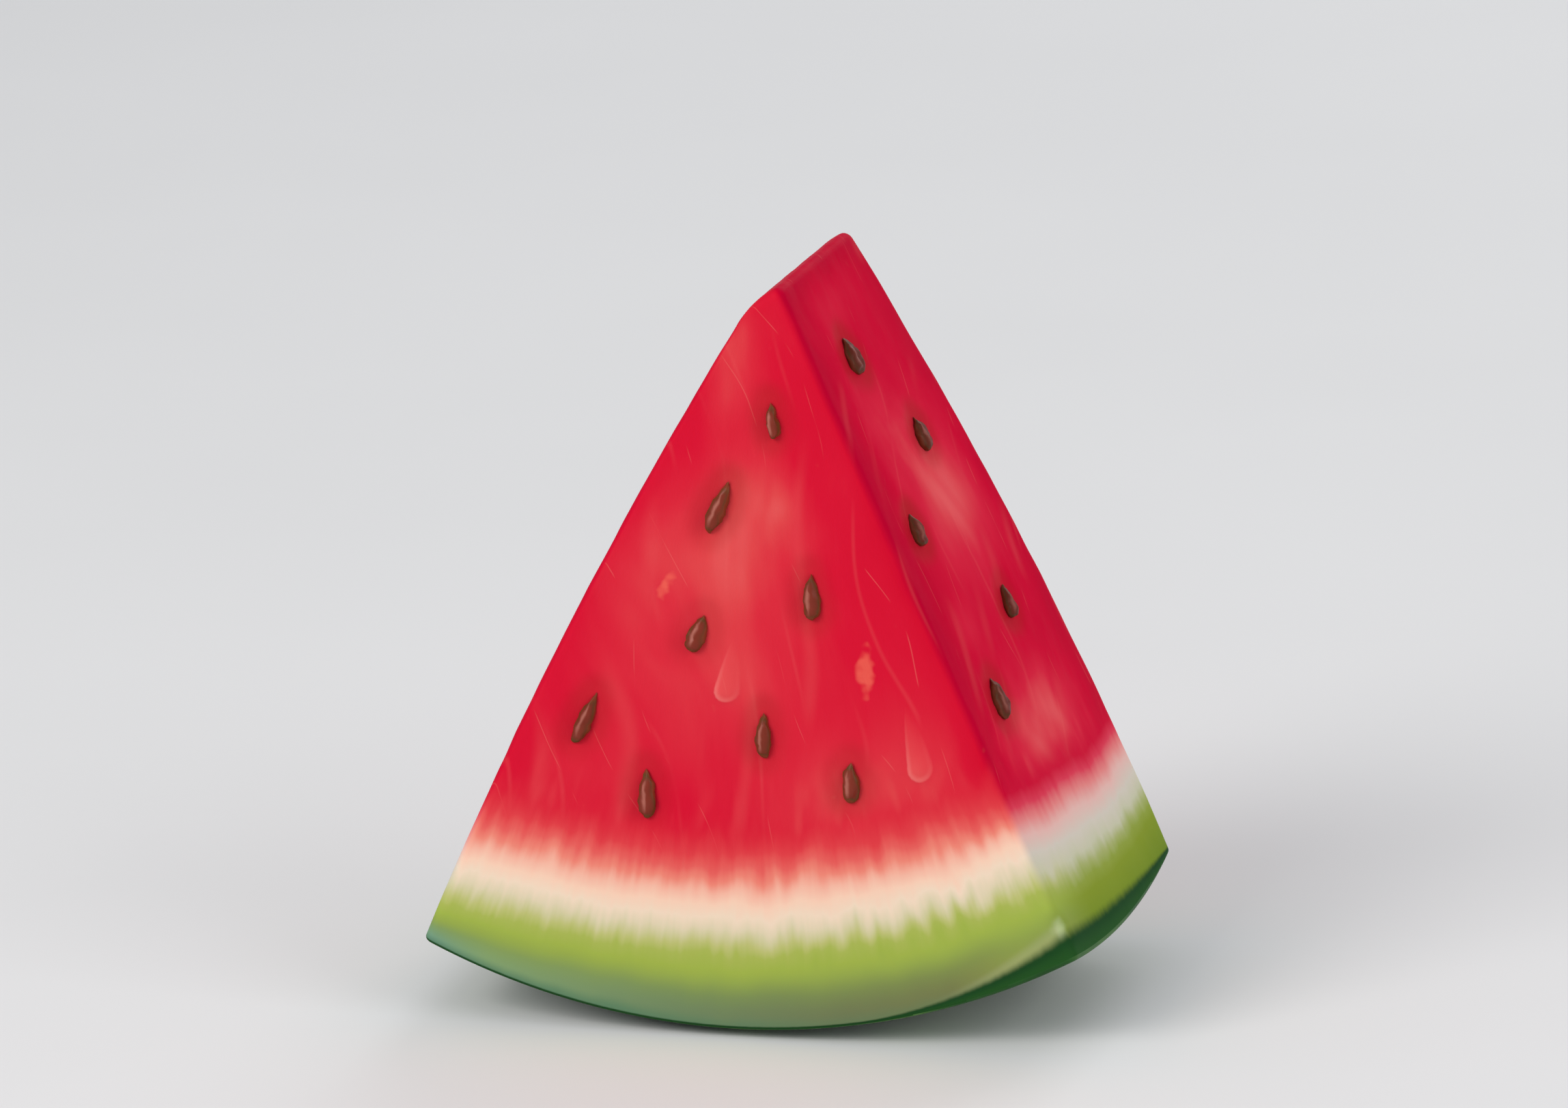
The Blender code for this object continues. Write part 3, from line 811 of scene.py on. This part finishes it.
# The flesh is paler in patches with soft wavering strokes, and more so just above the rind; along its
# edges it carries painted shade.
place = add(tree, "ShaderNodeTexCoord").outputs["Object"]
drift = add(tree, "ShaderNodeTexNoise", Vector=place, Scale=28.0, Detail=0.0).outputs["Color"]
drift = vector_math(tree, "MULTIPLY", drift, (0.030, 0.030, 0.020))
wavering = vector_math(tree, "ADD", place, drift)
broad = streaks(tree, wavering, width=0.012, stretch=1.5)
wisps = streaks(tree, wavering, width=0.0055, stretch=3.0)
threads = streaks(tree, wavering, width=0.0016, stretch=6.0)
strands = streaks(tree, grain, width=0.0040, stretch=3.0)
paleness_and_shade = times(tree, given["pale"], scaled(tree, wisps, by=0.40, plus=0.92))
paleness_and_shade = scaled(tree, broad, by=0.16, plus=paleness_and_shade)
paleness_and_shade = scaled(tree, threads, by=0.02, plus=paleness_and_shade)
near_rind = times(tree, fading(tree, given["layer"], 2.6, 4.2), eased(tree, strands, -0.1, 0.8))
paleness_and_shade = scaled(tree, near_rind, by=0.35, plus=paleness_and_shade)
front_flesh = ramp(tree, paleness_and_shade, [
    (-0.45, colour(196, 5, 43)), (-0.22, colour(207, 15, 46)), (0.05, colour(211, 21, 50)),
    (0.40, colour(216, 45, 61)), (0.75, colour(220, 69, 73)), (1.20, colour(227, 98, 96))])
# The side cuts' own ramp runs to a deeper crimson at its dark end: painted shade.
side_flesh = ramp(tree, paleness_and_shade, [
    (-0.50, colour(190, 0, 46)), (-0.20, colour(198, 0, 46)), (0.05, colour(208, 3, 50)),
    (0.40, colour(217, 32, 62)), (0.75, colour(224, 68, 79)), (1.20, colour(232, 96, 99))])
flesh = mixed(tree, given["side_face"], front_flesh, side_flesh)

# Long soft strokes of paler fibre wander down it, and here and there a fine bright hair.
strokes = wandering_lines(
    tree, place, spacing=0.0085, lean=0.05, bends=30.0, wander=2.2, half_width=0.0006, pieces=0.009)
smears = wandering_lines(
    tree, place, spacing=0.0105, lean=-0.18, bends=26.0, wander=2.2, half_width=0.0022, pieces=0.011)
hairs = wandering_lines(
    tree, place, spacing=0.0110, lean=0.30, bends=40.0, wander=1.2, half_width=0.00013, pieces=0.0030)
flesh = mixed(tree, times(tree, smears, 0.15), flesh, colour(232, 100, 98))
flesh = mixed(tree, times(tree, strokes, 0.12), flesh, colour(234, 106, 104))
flesh = mixed(tree, times(tree, hairs, 0.25), flesh, colour(238, 136, 124))

# Darker, browner flesh is painted round each seed, in its hollow, and more so in the side cuts:
# painted shade.
seed_shade = scaled(tree, broad, by=0.20, plus=0.24)
seed_shade = times(tree, eased(tree, given["hollow"], 0.0, 1.0), seed_shade)
seed_shade = times(tree, seed_shade, scaled(tree, given["side_face"], by=0.55, plus=1.0))
flesh = mixed(tree, seed_shade, flesh, colour(160, 38, 32))

# Juice drops carry a painted highlight along their lower left, paler inside and brightest at the lip,
# and the torn flecks are orange.
juice_and_highlight = times(tree, fading(tree, given["drop_reach"], 0.75, 1.10), given["drop_low"])
drop_highlight = fading(tree, given["drop_reach"], 0.93, 1.10)
drop_highlight = times(tree, drop_highlight, eased(tree, given["drop_reach"], 0.50, 0.92))
drop_highlight = times(tree, drop_highlight, times(tree, given["drop_low"], given["drop_low"]))
flesh = mixed(tree, times(tree, juice_and_highlight, 0.62), flesh, colour(230, 94, 92))
flesh = mixed(tree, times(tree, drop_highlight, 0.55), flesh, colour(242, 136, 130))
ragged = noise(tree, place, scale=420.0, detail=1.0)
torn = scaled(tree, noise(tree, place, scale=480.0, detail=1.0), by=2.0, plus=given["fleck"])
flesh = mixed(tree, times(tree, eased(tree, torn, 1.55, 2.30), 0.68), flesh, colour(236, 104, 86))

# The rind: the white runs up into the red in soft strands, and down into the green in teeth,
# which are longest to the right. Its colours follow the layers, the lowest also the width.
teeth = streaks(tree, grain, width=0.0036, stretch=2.6)
fine = streaks(tree, grain, width=0.0014, stretch=6.0)
rightward = add(tree, "ShaderNodeSeparateXYZ", Vector=grain).outputs["X"]
upper = scaled(tree, fine, by=0.05, plus=times(tree, strands, 0.17))
upper = times(tree, upper, eased(tree, given["layer"], 1.45, 2.3))
upper = times(tree, upper, scaled(tree, given["side_face"], by=-0.5, plus=1.0))
lower = times(tree, times(tree, teeth, 0.26), eased(tree, rightward, 0.035, 0.085, 0.30, 1.0))
lower = times(tree, lower, scaled(tree, broad, by=0.6, plus=0.9))
lower = scaled(tree, fine, by=0.08, plus=lower)
lower = times(tree, lower, eased(tree, given["layer"], 0.70, 1.05))
lower = times(tree, lower, fading(tree, given["layer"], 1.45, 1.9))
lower = times(tree, lower, scaled(tree, given["side_face"], by=-0.60, plus=1.0))
in_layer = math_node(tree, "ADD", given["layer"], math_node(tree, "ADD", upper, lower))
in_layer = scaled(tree, broad, by=0.06, plus=in_layer)
green_low = ramp(tree, rightward, [
    (0.000, colour(110, 152, 132)), (0.012, colour(128, 158, 112)), (0.045, colour(112, 134, 96)),
    (0.070, colour(112, 122, 84)), (0.088, colour(118, 124, 78)), (0.102, colour(144, 156, 76))])
rind = ramp(tree, in_layer, [
    (0.45, colour(134, 155, 78)), (0.81, colour(158, 177, 75)), (0.99, colour(167, 180, 86)),
    (1.13, colour(186, 189, 117)), (1.27, colour(204, 199, 152)), (1.40, colour(220, 207, 175)),
    (1.60, colour(237, 214, 190)), (1.80, colour(243, 204, 180)), (1.98, colour(241, 181, 160)),
    (2.18, colour(234, 134, 117)), (2.38, colour(227, 96, 91)), (2.60, colour(221, 66, 72)),
    (2.95, colour(215, 42, 58))])
low_layer = math_node(tree, "SUBTRACT", in_layer, eased(tree, rightward, 0.0, 0.045, 0.0, 0.11))
rind = mixed(tree, fading(tree, low_layer, 0.06, 0.66), rind, green_low)
edge_shade = eased(tree, rightward, 0.02, 0.08, 0.8, 0.3)
edge_shade = times(tree, edge_shade, fading(tree, in_layer, 0.04, 0.24))
rind = mixed(tree, edge_shade, rind, colour(84, 124, 96))
# The side cuts' rind has its own greyer, darker colours: painted shade.
shaded_side_rind = ramp(tree, in_layer, [
    (0.10, colour(112, 136, 38)), (0.72, colour(132, 150, 44)), (0.90, colour(144, 160, 66)),
    (1.08, colour(168, 176, 112)), (1.30, colour(200, 198, 170)), (1.60, colour(212, 202, 188)),
    (1.92, colour(230, 184, 176)), (2.18, colour(230, 136, 134)), (2.45, colour(220, 60, 84)),
    (2.70, colour(206, 8, 52))])
backward = add(tree, "ShaderNodeSeparateXYZ", Vector=grain).outputs["Y"]
past_edge = math_node(tree, "MAXIMUM", eased(tree, backward, 0.0, 0.016, 0.15, 1.0),
                      eased(tree, in_layer, 0.9, 1.5))
rind = mixed(tree, times(tree, given["side_face"], past_edge), rind, shaded_side_rind)
whole = mixed(tree, eased(tree, in_layer, 2.45, 3.25), rind, flesh)

# The chipped corner bares pale rind, and the skin closes over the rind at the bottom.
bared = scaled(tree, ragged, by=0.6, plus=given["nick"])
whole = mixed(tree, times(tree, eased(tree, bared, 0.45, 1.05), 0.70), whole, colour(196, 210, 156))
rim = fading(tree, given["skin_cover"], 1.15, 1.60)
rim = times(tree, rim, eased(tree, rightward, 0.082, 0.102))
rim = times(tree, rim, scaled(tree, given["side_face"], by=-1.0, plus=1.0))
whole = mixed(tree, times(tree, rim, 0.30), whole, colour(174, 176, 142))
skin_edge = scaled(tree, fine, by=0.04, plus=given["skin_cover"])
skin_tint = eased(tree, given["skin_cover"], 0.15, 0.80)
skin_tint = mixed(tree, skin_tint, colour(38, 81, 36), colour(28, 67, 33))
whole = mixed(tree, eased(tree, skin_edge, 0.66, 1.16), skin_tint, whole)
tree.links.new(whole, surface.inputs["Base Color"])
flesh_here = eased(tree, in_layer, 1.8, 2.5, 0.2, 1.0)
pile = scaled(tree, threads, by=0.4, plus=times(tree, fine, 0.3))
rough = add(tree, "ShaderNodeBump",
            Height=times(tree, pile, flesh_here), Strength=0.25, Distance=0.0002)
tree.links.new(rough.outputs["Normal"], surface.inputs["Normal"])
sheen = scaled(tree, wisps, by=0.06, plus=0.46)
sheen = scaled(tree, juice_and_highlight, by=-0.2, plus=sheen)
tree.links.new(sheen, surface.inputs["Roughness"])
surface.inputs["Specular IOR Level"].default_value = 0.015
surface.inputs["Subsurface Weight"].default_value = 0.10
surface.inputs["Subsurface Radius"].default_value = (1.0, 0.35, 0.25)
surface.inputs["Subsurface Scale"].default_value = 0.002

# The skin is waxy and dark green, with paler ragged bands that run the length of the melon.
skin_material, tree, surface = new_material("melon_skin")
where = add(tree, "ShaderNodeTexCoord").outputs["Object"]
lengthwise = vector_math(tree, "MULTIPLY", where, (1.0, 0.22, 1.0))
ragged = noise(tree, where, scale=160.0, detail=4.0)
bands = noise(tree, lengthwise, scale=52.0, detail=3.0)
marks = scaled(tree, ragged, by=0.25, plus=bands)
skin_colour = ramp(tree, marks, [
    (0.45, colour(26, 64, 28)), (0.66, colour(38, 84, 36)), (0.85, colour(84, 124, 62))])
tree.links.new(skin_colour, surface.inputs["Base Color"])
wax = add(tree, "ShaderNodeBump", Height=ragged, Strength=0.2, Distance=0.0002)
tree.links.new(wax.outputs["Normal"], surface.inputs["Normal"])
tree.links.new(scaled(tree, ragged, by=0.2, plus=0.32), surface.inputs["Roughness"])
surface.inputs["Specular IOR Level"].default_value = 0.12

worked_mesh(wedge, open_flesh, Seeds=seed_seats, Hollow_reach=0.0056, Hollow_depth=0.0004,
            Fibre_width=0.0045, Fibre_depth=0.0003, Drop_height=0.0006, Nick_depth=0.0012,
            Cut=cut_material, Skin=skin_material)
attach(wedge, "root")
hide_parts("watermelon_wedge")
